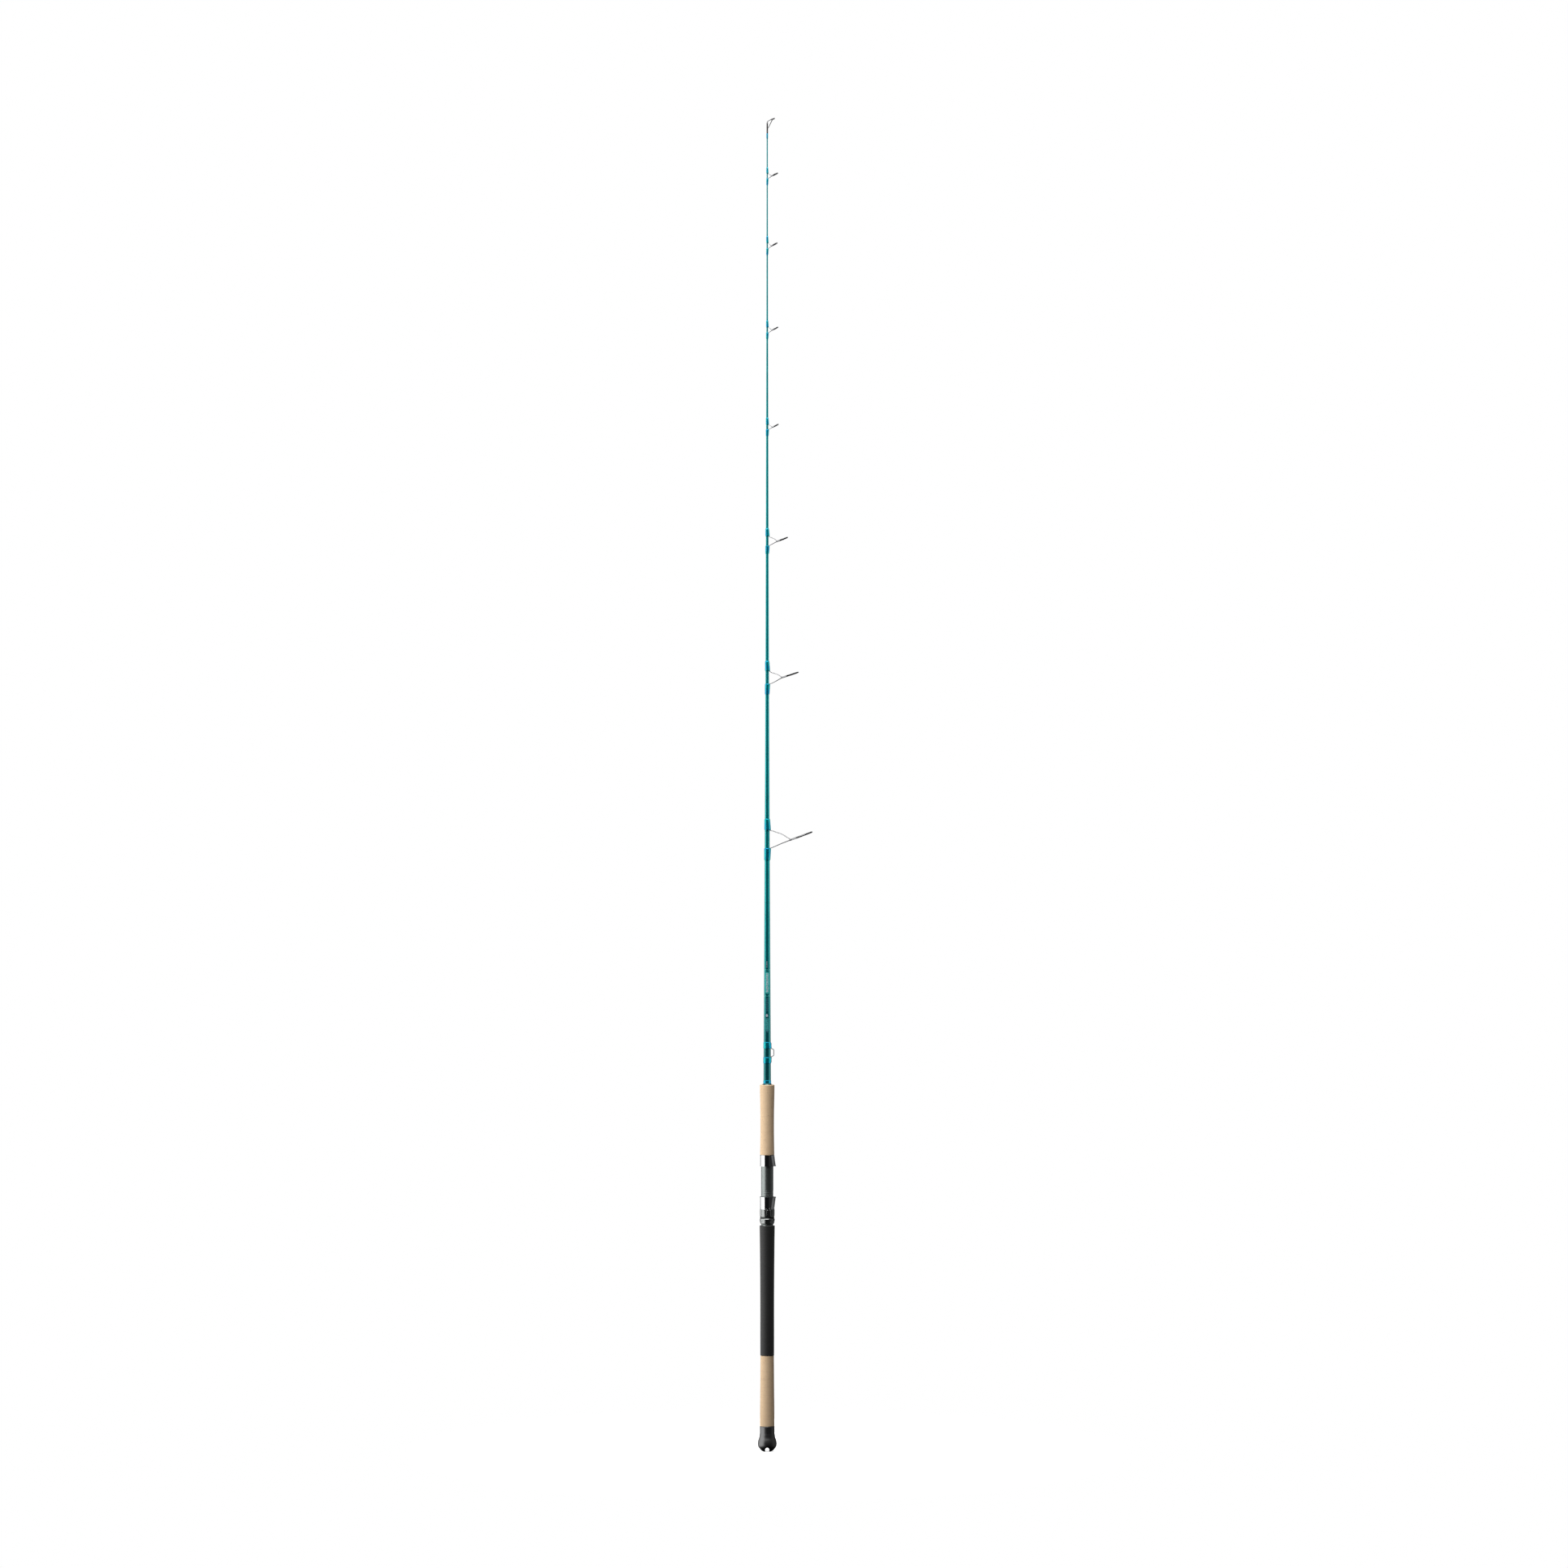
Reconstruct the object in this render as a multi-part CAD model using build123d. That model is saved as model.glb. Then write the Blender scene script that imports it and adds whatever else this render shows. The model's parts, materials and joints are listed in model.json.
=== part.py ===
from build123d import *
from math import cos, pi, radians, sin
import os

# Fishing rod with an empty pipe reel seat. Millimetres.
# The blank's axis is Z, with Z = 0 at the bottom of the gimbal butt and +Z towards the tip.
# The guides, the hook keeper and the pockets of the hoods are on the +X side.

# ---- fits and helpers --------------------------------------------------------------------------
GLUE = 0.05                     # glue line between the blank and what is bonded on it
OVERCUT = 0.01                  # how far a cut runs past a face it opens
CLEAR = 40.0                    # size of a cutting block that is larger than anything it cuts
MARGIN = 1.0                    # how far a cutting core runs past both ends of a piece

# ---- blank -------------------------------------------------------------------------------------
BLANK_BOTTOM = 9.5
BLANK_TOP = 2124.0
BLANK_STATIONS = [  # height, outside diameter
    (BLANK_BOTTOM, 13.6), (460.0, 12.6), (586.0, 12.0), (650.0, 11.4), (800.0, 9.8), (950.0, 8.4),
    (1100.0, 6.9), (1250.0, 5.7), (1400.0, 4.8), (1550.0, 4.0), (1700.0, 3.15), (1850.0, 2.45),
    (2000.0, 2.05), (BLANK_TOP, 1.9),
]
BUTT_WALL = 1.3
TIP_WALL = 0.5
PLUG_LENGTH = 30.0
PLUG_INSET = 1.0

# ---- handle, from the butt up; outsides are radius and height ----------------------------------
GIMBAL_TOP = 40.3
GIMBAL_NECK_RADIUS = 11.95
GIMBAL_OUTSIDE = [(6.5, 0.0), (9.0, 1.2), (11.4, 3.3), (13.9, 6.6), (15.3, 11.7), (15.05, 15.1),
                  (14.1, 19.0), (12.8, 23.0), (12.1, 28.0), (GIMBAL_NECK_RADIUS, 33.0)]
GIMBAL_EDGE_SLOPE = (1, 0.3)    # how the side starts at the bottom edge
GIMBAL_CHAMFER = 0.2
SLOT_WIDTH = 6.4
SLOT_DEPTH = 7.2
REAR_CORK_TOP = 153.6
REAR_CORK_OUTSIDE = [(11.7, GIMBAL_TOP), (11.46, 69.0), (11.15, 95.0), (10.94, 121.0),
                     (10.7, REAR_CORK_TOP)]
FOAM_TOP = 361.2
FOAM_OUTSIDE = [(11.1, REAR_CORK_TOP), (11.15, 180.0), (11.1, 231.0), (11.35, 283.0), (11.82, 335.0),
                (12.2, FOAM_TOP)]
FORE_CORK_TOP = 586.7
FORE_CORK_OUTSIDE = [(11.4, 474.3), (11.3, 481.0), (11.0, 497.0), (10.85, 523.0), (11.05, 549.0),
                     (11.55, 572.0), (11.7, FORE_CORK_TOP)]
CORK_RINGS = 9                  # cork rings glued into each cork grip
CORK_EDGE = 0.9
FOAM_EDGE = 0.5

# ---- reel seat barrel --------------------------------------------------------------------------
BARREL_RADIUS = 9.85
BARREL_BORE_RADIUS = 7.75
BARREL_TOP = 473.3
THREAD_TOP = 417.6
THREAD_PITCH = 2.54
THREAD_MEAN_RADIUS = 9.66
THREAD_ECCENTRICITY = 0.15      # a circle carried round this radius as it climbs is a knuckle thread
NUT_THREAD_CLEARANCE = 0.12
GROOVE_WIDTH = 2.4
GROOVE_FLOOR = 8.7
GROOVE_TOP = 450.0
ARBOR_LENGTH = 14.0
ARBOR_HEIGHTS = [368.5, 415.0, 462.0]
SLIDE_BORE_RADIUS = 9.95        # sliding bore of the hood, the ring and the washer

# ---- hoods -------------------------------------------------------------------------------------
HOOD_WALL = 0.85
HOOD_MOUTH_REACH = 13.75        # how far the pocket stands out at the mouth
HOOD_END_REACH = 0.05           # and how little it stands out at the closed end
HOOD_LIP = 0.3
HOOD_LIP_LENGTH = 1.2
HOOD_FLANGE = 0.9
HOOD_POINTS = 72                # points round a hood's outline
POCKET_HALF_ANGLE = 66.0
FOOT_HALF_ANGLE = 52.0
FOOT_REACH = 12.15              # top of the reel foot's space at the mouth
FOOT_DEPTH = 13.0
FOOT_UNDERCUT = 0.3             # the reel foot's space starts this far inside the bore
FOOT_OVERRUN = 0.2
CUSHION_RECESS = 0.6
NIB_RADIUS = 1.5                # the cushion's locating nib, seen through a hole in the hood
NIB_GAP = 0.05
NIB_ROOT = 0.2
NIB_SUNK = 0.25                 # how far the nib stays below the hood's skin
FIXED_HOOD_MOUTH = 456.5
FIXED_HOOD_END = 474.2
FIXED_HOOD_RADIUS = 11.4
FIXED_NIB_HEIGHT = 465.0
SLIDING_HOOD_MOUTH = 407.2
SLIDING_HOOD_END = 390.3
SLIDING_HOOD_RADIUS = 11.65
SLIDING_NIB_HEIGHT = 399.0
KEY_WIDTH = 2.2
KEY_TIP = 8.9
KEY_ROOT = 0.4                  # how deep the key is rooted in the cushion
KEY_BOTTOM = 392.5
KEY_TOP = 405.0

# ---- ring, nuts and washer ---------------------------------------------------------------------
RING_BOTTOM = 387.3
RING_TOP = 389.6
RING_RADIUS = 11.65
RING_NECK_RADIUS = 10.9
SMALL_EDGE = 0.3                # chamfer of the ring and the washer
NUT_BOTTOM = 375.2
NUT_TOP = 387.1
NUT_RADIUS = 11.95
NUT_FOOT_RADIUS = 11.4
NUT_WAIST_RADIUS = 11.85
NUT_WAIST_HEIGHT = 2.4
NUT_EDGE = 0.5
NUT_FLUTES = 16
FLUTE_RADIUS = 14.0
FLUTE_DEPTH = 0.34
WASHER_BOTTOM = 372.95
WASHER_TOP = 375.0
WASHER_RADIUS = 11.5
JAM_NUT_OUTSIDE = [(9.95, 363.7), (10.9, 364.6), (11.4, 366.2), (11.85, 369.0), (11.95, 372.0),
                   (11.45, 372.8)]
JAM_NUT_DIMPLES = 10
DIMPLE_RADIUS = 2.35
DIMPLE_FLOOR = 11.2
DIMPLE_HEIGHT = 367.9

# ---- trim above the handle ---------------------------------------------------------------------
CHECK_TOP = 588.4
CHECK_RADII = (8.0, 6.7)
BUTT_WRAP_TOP = 593.7
BUTT_WRAP_RADIUS = 6.35
BUTT_WRAP_EDGE = 0.25
KEEPER_WIRE = 0.55
KEEPER_REACH = 10.65
KEEPER_FEET = (653.0, 622.4)
KEEPER_LOOP = (644.6, 643.0, 633.4, 631.6)
KEEPER_BENDS = [1.2, 1.9, 1.9, 1.2]
KEEPER_WRAPS = [(655.1, 644.6), (630.9, 620.6)]

# ---- guides ------------------------------------------------------------------------------------
# Each has a ring of an outside diameter that leans by a tilt and is centred at (x, z), wraps from
# their top to their bottom, and pairs of legs that each pass a knee and a middle point, at (x, z).
# The first guide is the one nearest the tip.
GUIDES = [
    dict(diameter=12.0, tilt=26.0, centre=(11.9, 2043.5),
         front_wrap=(2054.8, 2044.9), front_leg=((2.7, 2044.3), (4.7, 2042.9)),
         rear_wrap=(2037.4, 2026.1), rear_leg=((2.9, 2037.9), (4.8, 2039.2))),
    dict(diameter=12.0, tilt=28.0, centre=(11.2, 1931.5),
         front_wrap=(1944.7, 1933.9), front_leg=((2.7, 1933.2), (4.6, 1931.3)),
         rear_wrap=(1925.2, 1914.4), rear_leg=((2.9, 1925.8), (4.7, 1927.2))),
    dict(diameter=12.0, tilt=27.0, centre=(12.4, 1796.8),
         front_wrap=(1809.8, 1798.8), front_leg=((3.1, 1798.2), (5.3, 1796.4)),
         rear_wrap=(1790.4, 1780.0), rear_leg=((3.2, 1791.0), (5.4, 1792.4))),
    dict(diameter=12.0, tilt=27.0, centre=(12.95, 1641.3),
         front_wrap=(1654.1, 1643.0), front_leg=((3.6, 1642.4), (5.9, 1640.8)),
         rear_wrap=(1635.6, 1624.7), rear_leg=((3.7, 1636.2), (5.9, 1637.4))),
    dict(diameter=20.0, tilt=20.8, centre=(23.85, 1459.35),
         front_wrap=(1477.1, 1464.4), front_leg=((5.2, 1462.9), (11.6, 1460.6)),
         rear_wrap=(1449.3, 1436.0), rear_leg=((5.3, 1450.6), (11.6, 1454.0))),
    dict(diameter=30.0, tilt=18.2, centre=(36.05, 1242.4),
         front_wrap=(1265.0, 1248.8), front_leg=((6.9, 1246.4), (16.9, 1243.5)),
         rear_wrap=(1228.3, 1211.0), rear_leg=((6.9, 1229.0), (14.4, 1232.8))),
    dict(diameter=40.0, tilt=20.3, centre=(53.7, 984.5),
         front_wrap=(1012.3, 994.0), front_leg=((8.2, 993.0), (22.9, 988.2)),
         rear_wrap=(965.3, 945.5), rear_leg=((8.6, 966.5), (22.9, 972.8))),
]
LARGE_RING = 16.0               # a ring over this diameter is on a large guide

# Sizes that grow with the ring: a base, and a share of the ring's diameter.
HOOP_WALL = (0.6, 0.015)
HOOP_WIDTH = (1.2, 0.02)
INSERT_WALL = (0.55, 0.046)
INSERT_WIDTH = (1.5, 0.025)
LEG_RADIUS = (0.22, 0.0075)
LARGE_LEG_RADIUS = (0.31, 0.0075)
FOOT_WIDTH = (1.3, 0.05)

ROUNDING = 0.4                  # corner radius of a hoop or an insert, as a share of its wall
LEG_JOIN_ANGLE = 32.0           # where the legs meet the hoop, either side of its lowest point
LEG_SPREAD = 0.55               # how far the middle of a leg has spread towards its joint
ROOT_SPREAD = 0.6               # how far apart the legs start on the foot
ROOT_LENGTH = 1.5               # length of leg that lies along the foot
ROOT_INSET = 0.2
FOOT_BEND = 1.4                 # bends of a leg, in wire radii
KNEE_BEND = 1.8
JOINT_BEAD = 1.05               # bead of solder at a leg's joint, in wire radii
FOOT_FACING = 0.12              # how much thicker the foot is than its wire
FOOT_HEEL = 0.3
FOOT_TAIL = 1.6                 # how far the foot stops short of the wrap's tail
FOOT_TIP = 0.2                  # thickness of a foot at its tip

# ---- wraps over the feet -----------------------------------------------------------------------
EPOXY_THICK = 0.75              # wrap and epoxy over a large guide's feet
EPOXY_THIN = 0.5                # and over a small guide's feet
WRAP_TAIL = 2.6                 # length over which the wrap thins at its tail
WRAP_NOSE = 0.8
WRAP_NOSE_BUILD = 0.12
WRAP_SHOULDER = 2.0             # length of the full-height part beside the legs
WRAP_EDGE = 0.5
WRAP_EDGE_SHARE = 0.7           # share of the build left at an edge

# ---- tip-top -----------------------------------------------------------------------------------
TIP_TUBE = (2109.3, 2126.2)
TIP_TUBE_RADIUS = 1.3
TIP_TUBE_CHAMFER = (0.4, 0.6)
TIP_RING_DIAMETER = 8.0
TIP_RING_TILT = 18.0
TIP_RING_CENTRE = (8.6, 2132.2)
TIP_NECK_RADIUS = 0.75
TIP_NECK_PATH = [(0.0, -1.0), (0.0, 1.2), (2.2, 3.6)]       # x, height over the tube's top
TIP_NECK_BEND = 1.6
TIP_BRACE_RADIUS = 0.5
TIP_BRACE_PATH = [(0.7, 0.3, -8.6), (2.4, 0.6, -6.8)]       # x, y, height over the tube's top
TIP_BRACE_BEND = 1.5
TIP_BRACE_ANGLE = 90.0
TIP_WRAP_BOTTOM = 2100.7
TIP_WRAP_BUILD = 0.4
TIP_WRAP_SLOPE = (0.25, 0.8)
TIP_WRAP_EDGE = (0.1, 0.5)


def save(name, *solids):
    """Write one named piece, which may be a group of separate solids."""
    whole = Compound(children=list(solids)) if len(solids) > 1 else solids[0]
    export_step(whole, f"parts/{name}.step")


def first(shape):
    """The one solid of a shape."""
    return shape.solids()[0]


def blank_radius(z):
    """Outside radius of the blank at a height."""
    for (z0, d0), (z1, d1) in zip(BLANK_STATIONS, BLANK_STATIONS[1:]):
        if z <= z1:
            return (d0 + (d1 - d0) * (z - z0) / (z1 - z0)) / 2
    return BLANK_STATIONS[-1][1] / 2


def blank_wall(z):
    """Wall of the blank, which thins evenly from butt to tip."""
    return BUTT_WALL + (TIP_WALL - BUTT_WALL) * (z - BLANK_BOTTOM) / (BLANK_TOP - BLANK_BOTTOM)


def lathe(*edges):
    """Turn a closed outline, drawn as radius and height, about Z."""
    face = make_face(Plane.XZ * (Curve() + list(edges)))
    return revolve(face, Axis.Z)


def turned(points):
    """Turn a polygon, given as (radius, height) points, about Z."""
    return lathe(Polyline(*points, close=True))


def turned_smooth(outside):
    """A solid of revolution whose side is a smooth curve through (radius, height) points."""
    (r0, z0), (r1, z1) = outside[0], outside[-1]
    return lathe(Spline(*outside), Polyline((r1, z1), (0, z1), (0, z0), (r0, z0)))


def cylinder(radius, bottom, top):
    """A plain cylinder about Z between two heights."""
    return Pos(0, 0, (bottom + top) / 2) * Cylinder(radius, top - bottom)


def blank_core(bottom, top, gap=0.0):
    """The outside of the blank as a solid, between two heights, grown by a gap."""
    heights = [bottom] + [z for z, _ in BLANK_STATIONS if bottom < z < top] + [top]
    outline = [(blank_radius(z) + gap, z) for z in heights]
    return turned([(0, bottom)] + outline + [(0, top)])


def bore(bottom, top, gap=0.0):
    """What to cut from a piece that fits round the blank between two heights."""
    return blank_core(bottom - MARGIN, top + MARGIN, gap)


def end_edge(solid, z):
    """The outer circular edge of a turned solid at one height."""
    circles = solid.edges().filter_by(GeomType.CIRCLE)
    return circles.filter_by_position(Axis.Z, z - OVERCUT, z + OVERCUT).sort_by(SortBy.RADIUS)[-1]


# ---- blank and handle --------------------------------------------------------------------------
def make_blank():
    outside = [(d / 2, z) for z, d in BLANK_STATIONS]
    inside = [(d / 2 - blank_wall(z), z) for z, d in reversed(BLANK_STATIONS)]
    return turned(outside + inside)


def make_butt_plug():
    bottom = BLANK_BOTTOM + PLUG_INSET
    top = bottom + PLUG_LENGTH
    side = [(blank_radius(z) - blank_wall(z) - GLUE, z) for z in (bottom, top)]
    return turned([(0, bottom)] + side + [(0, top)])


def make_gimbal():
    (r0, z0), (r1, z1) = GIMBAL_OUTSIDE[0], GIMBAL_OUTSIDE[-1]
    side = Spline(*GIMBAL_OUTSIDE, tangents=[GIMBAL_EDGE_SLOPE, (0, 1)])
    rest = Polyline((r1, z1), (r1, GIMBAL_TOP - GIMBAL_CHAMFER), (r1 - GIMBAL_CHAMFER, GIMBAL_TOP),
                    (0, GIMBAL_TOP), (0, z0), (r0, z0))
    body = lathe(side, rest) - blank_core(BLANK_BOTTOM - GLUE, GIMBAL_TOP + MARGIN, GLUE)
    spring = SLOT_DEPTH - SLOT_WIDTH / 2
    slot = Pos(0, 0, (spring - MARGIN) / 2) * Box(CLEAR, SLOT_WIDTH, spring + MARGIN)
    slot += Pos(0, 0, spring) * Rot(0, 90, 0) * Cylinder(SLOT_WIDTH / 2, CLEAR)
    body -= slot
    body -= Rot(0, 0, 90) * slot
    return first(body)


def grip(outside, edge):
    """A grip: a smooth turned shape with rounded ends, bored for the blank."""
    bottom, top = outside[0][1], outside[-1][1]
    body = turned_smooth(outside)
    body = fillet([end_edge(body, bottom), end_edge(body, top)], edge)
    return body - bore(bottom, top, GLUE)


def cork_stack(outside):
    """A cork grip as its separate glued rings."""
    bottom, top = outside[0][1], outside[-1][1]
    height = (top - bottom) / CORK_RINGS
    body = grip(outside, CORK_EDGE)
    slabs = [cylinder(CLEAR, bottom + i * height, bottom + (i + 1) * height) for i in range(CORK_RINGS)]
    return [first(body & slab) for slab in slabs]


def make_winding_check():
    bottom = FORE_CORK_TOP
    wide, narrow = CHECK_RADII
    body = turned([(0, bottom), (wide, bottom), (narrow, CHECK_TOP), (0, CHECK_TOP)])
    return body - bore(bottom, CHECK_TOP, GLUE)


def make_butt_wrap():
    r, edge = BUTT_WRAP_RADIUS, BUTT_WRAP_EDGE
    body = turned([(0, CHECK_TOP), (r, CHECK_TOP), (r, BUTT_WRAP_TOP - 2 * edge),
                   (r - edge, BUTT_WRAP_TOP), (0, BUTT_WRAP_TOP)])
    return body - bore(CHECK_TOP, BUTT_WRAP_TOP)


# ---- reel seat ---------------------------------------------------------------------------------
def thread_core(bottom, top, clearance=0.0):
    """A threaded core: a level circle carried up a slim helix, in step with every other stretch."""
    helix = Edge.make_helix(THREAD_PITCH, top - bottom, THREAD_ECCENTRICITY)
    start = Plane(origin=(THREAD_ECCENTRICITY, 0, 0))
    circle = Wire(Edge.make_circle(THREAD_MEAN_RADIUS + clearance, start))
    core = Solid.sweep(circle, path=Wire(helix), mode=Vector(0, 0, 1))
    turns_below = (bottom - FOAM_TOP) / THREAD_PITCH
    return Pos(0, 0, bottom) * Rot(0, 0, 360 * turns_below) * core


def make_barrel():
    body = Part() + thread_core(FOAM_TOP, THREAD_TOP) + cylinder(BARREL_RADIUS, THREAD_TOP, BARREL_TOP)
    groove_bottom = FOAM_TOP - MARGIN
    groove_depth = BARREL_RADIUS + MARGIN - GROOVE_FLOOR
    groove = Box(GROOVE_WIDTH, groove_depth, GROOVE_TOP - groove_bottom)
    body -= Pos(0, GROOVE_FLOOR + groove_depth / 2, (groove_bottom + GROOVE_TOP) / 2) * groove
    body -= cylinder(BARREL_BORE_RADIUS, FOAM_TOP - MARGIN, BARREL_TOP + MARGIN)
    return first(body)


def make_arbors():
    arbors = []
    for middle in ARBOR_HEIGHTS:
        bottom, top = middle - ARBOR_LENGTH / 2, middle + ARBOR_LENGTH / 2
        arbors.append(cylinder(BARREL_BORE_RADIUS - GLUE, bottom, top) - bore(bottom, top, GLUE))
    return arbors


def hood_section(radius, reach, half_angle, z):
    """A hood's outline at one height: a circle that swells out to a reach on the +X side."""
    points = []
    for i in range(HOOD_POINTS):
        angle = 2 * pi * i / HOOD_POINTS - pi
        share = abs(angle) / radians(half_angle)
        swell = (1 + cos(pi * share)) / 2 if share < 1 else 0
        r = radius + (reach - radius) * swell
        points.append((r * cos(angle), r * sin(angle), z))
    return make_face(Spline(*points, periodic=True))


def hood_form(radius, mouth_reach, half_angle, mouth, end):
    """A solid that swells from its closed end to its mouth, like the pocket of a reel hood."""
    small = hood_section(radius, radius + HOOD_END_REACH, half_angle, end)
    large = hood_section(radius, mouth_reach, half_angle, mouth)
    return Part() + loft([small, large], ruled=True)


def outward_pin(radius, start, end, height):
    """A round pin that points outwards along X."""
    return Pos((start + end) / 2, 0, height) * Rot(0, 90, 0) * Cylinder(radius, end - start)


def make_hood(radius, mouth, end, nib_height, bore_radius):
    """A hood's shell and its cushion. The pocket opens at the mouth and a flange closes the end."""
    way = 1 if mouth > end else -1
    inner = radius - HOOD_WALL
    inner_reach = HOOD_MOUTH_REACH - HOOD_WALL
    recess = mouth - way * CUSHION_RECESS
    barrel = Pos(0, 0, (mouth + end) / 2) * Cylinder(bore_radius, CLEAR)
    cavity = hood_form(inner, inner_reach, POCKET_HALF_ANGLE, mouth + way * OVERCUT, end + way * HOOD_FLANGE)
    lip_bottom = min(mouth, mouth - way * HOOD_LIP_LENGTH)
    lip = hood_section(radius + HOOD_LIP, HOOD_MOUTH_REACH + HOOD_LIP, POCKET_HALF_ANGLE, lip_bottom)
    shell = hood_form(radius, HOOD_MOUTH_REACH, POCKET_HALF_ANGLE, mouth, end)
    shell += extrude(lip, HOOD_LIP_LENGTH, dir=(0, 0, 1))
    shell = shell - cavity - barrel - outward_pin(NIB_RADIUS, inner, CLEAR, nib_height)

    foot_mouth, foot_end = recess + way * FOOT_OVERRUN, recess - way * FOOT_DEPTH
    reel_foot = hood_form(bore_radius - FOOT_UNDERCUT, FOOT_REACH, FOOT_HALF_ANGLE, foot_mouth, foot_end)
    hood_reach = radius + (HOOD_MOUTH_REACH - radius) * (nib_height - end) / (mouth - end)
    nib = outward_pin(NIB_RADIUS - NIB_GAP, inner + NIB_ROOT, hood_reach - NIB_SUNK, nib_height)
    beyond = Pos(0, 0, recess + way * CLEAR / 2) * Cylinder(CLEAR, CLEAR)
    cushion = cavity - beyond + nib - barrel - reel_foot
    return first(shell), first(cushion)


def make_sliding_cushion(cushion):
    """The sliding hood's cushion has a key that runs in the barrel's groove."""
    depth = SLIDE_BORE_RADIUS + KEY_ROOT - KEY_TIP
    key = Box(KEY_WIDTH, depth, KEY_TOP - KEY_BOTTOM)
    return first(cushion + Pos(0, KEY_TIP + depth / 2, (KEY_BOTTOM + KEY_TOP) / 2) * key)


def make_thrust_ring():
    edge = SMALL_EDGE
    return turned([(SLIDE_BORE_RADIUS, RING_BOTTOM), (RING_RADIUS - edge, RING_BOTTOM),
                   (RING_RADIUS, RING_BOTTOM + edge), (RING_RADIUS, RING_TOP - edge),
                   (RING_RADIUS - edge, RING_TOP), (RING_NECK_RADIUS, RING_TOP),
                   (RING_NECK_RADIUS, SLIDING_HOOD_END), (SLIDE_BORE_RADIUS, SLIDING_HOOD_END)])


def make_locking_nut():
    edge, foot_radius = NUT_EDGE, NUT_FOOT_RADIUS
    body = turned([(0, NUT_BOTTOM), (foot_radius - edge, NUT_BOTTOM), (foot_radius, NUT_BOTTOM + edge),
                   (NUT_WAIST_RADIUS, NUT_BOTTOM + NUT_WAIST_HEIGHT), (NUT_RADIUS, NUT_TOP - edge),
                   (NUT_RADIUS - edge, NUT_TOP), (0, NUT_TOP)])
    flute = Pos(NUT_RADIUS + FLUTE_RADIUS - FLUTE_DEPTH, 0, 0) * cylinder(FLUTE_RADIUS, NUT_BOTTOM, NUT_TOP)
    for i in range(NUT_FLUTES):
        body -= Rot(0, 0, (i + 0.5) * 360 / NUT_FLUTES) * flute
    body -= thread_core(NUT_BOTTOM - MARGIN, NUT_TOP + MARGIN, NUT_THREAD_CLEARANCE)
    return first(body)


def make_jam_washer():
    edge = SMALL_EDGE
    return turned([(SLIDE_BORE_RADIUS, WASHER_BOTTOM), (WASHER_RADIUS - edge, WASHER_BOTTOM),
                   (WASHER_RADIUS, WASHER_BOTTOM + edge), (WASHER_RADIUS, WASHER_TOP - edge),
                   (WASHER_RADIUS - edge, WASHER_TOP), (SLIDE_BORE_RADIUS, WASHER_TOP)])


def make_jam_nut():
    """The lower nut: a rounded cup with thumb dimples that are arched at the top."""
    bottom, top = JAM_NUT_OUTSIDE[0][1], JAM_NUT_OUTSIDE[-1][1]
    body = turned_smooth(JAM_NUT_OUTSIDE)
    dimple = outward_pin(DIMPLE_RADIUS, DIMPLE_FLOOR, CLEAR, DIMPLE_HEIGHT)
    length, drop = CLEAR - DIMPLE_FLOOR, DIMPLE_HEIGHT - bottom + MARGIN
    below = Box(length, 2 * DIMPLE_RADIUS, drop)
    dimple += Pos(DIMPLE_FLOOR + length / 2, 0, DIMPLE_HEIGHT - drop / 2) * below
    for i in range(JAM_NUT_DIMPLES):
        body -= Rot(0, 0, 270 + i * 360 / JAM_NUT_DIMPLES) * dimple
    body -= thread_core(bottom - MARGIN, top + MARGIN, NUT_THREAD_CLEARANCE)
    return first(body)


# ---- wires, guides and wraps -------------------------------------------------------------------
def wire(points, radius, bends):
    """A round wire along straight runs joined by tangent arcs."""
    path = FilletPolyline(*points, radius=bends)
    section = Plane(origin=path @ 0, z_dir=path % 0) * Circle(radius)
    return sweep(section, path=path)


def wrap(wide_end, thin_end, build, rise):
    """A thread wrap under epoxy that thickens on the +X side towards its wide end."""
    way = 1 if thin_end > wide_end else -1
    shift = rise / 2
    thin, wide = blank_radius(thin_end), blank_radius(wide_end) + shift
    sections = [  # height, offset, radius
        (thin_end, 0, thin + WRAP_NOSE_BUILD),
        (thin_end - way * WRAP_NOSE, 0, thin + WRAP_EDGE_SHARE * build),
        (thin_end - way * WRAP_TAIL, 0, thin + build),
        (wide_end + way * WRAP_SHOULDER, shift, wide + build),
        (wide_end + way * WRAP_EDGE, shift, wide + build),
        (wide_end, shift, wide + WRAP_EDGE_SHARE * build),
    ]
    body = Part() + loft([Pos(x, 0, z) * Circle(r) for z, x, r in sections], ruled=True)
    return body - bore(min(wide_end, thin_end), max(wide_end, thin_end))


def foot(leg_end, tip_end, thickness, width):
    """A guide's foot: a blade that tapers from the legs to its tip, shaped to the blank."""
    r0, r1 = blank_radius(leg_end), blank_radius(tip_end)
    top_face = [(r0 + thickness, leg_end), (r1 + FOOT_TIP, tip_end)]
    side = Polyline((r0 / 2, leg_end), *top_face, (r1 / 2, tip_end), close=True)
    blade = extrude(make_face(Plane.XZ * side), width / 2, both=True)
    blade &= turned([(0, leg_end), *top_face, (0, tip_end)])
    return blade - bore(min(leg_end, tip_end), max(leg_end, tip_end))


def grown(size, diameter):
    """A size that grows with the ring: a base plus a share of the ring's diameter."""
    base, share = size
    return base + share * diameter


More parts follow.
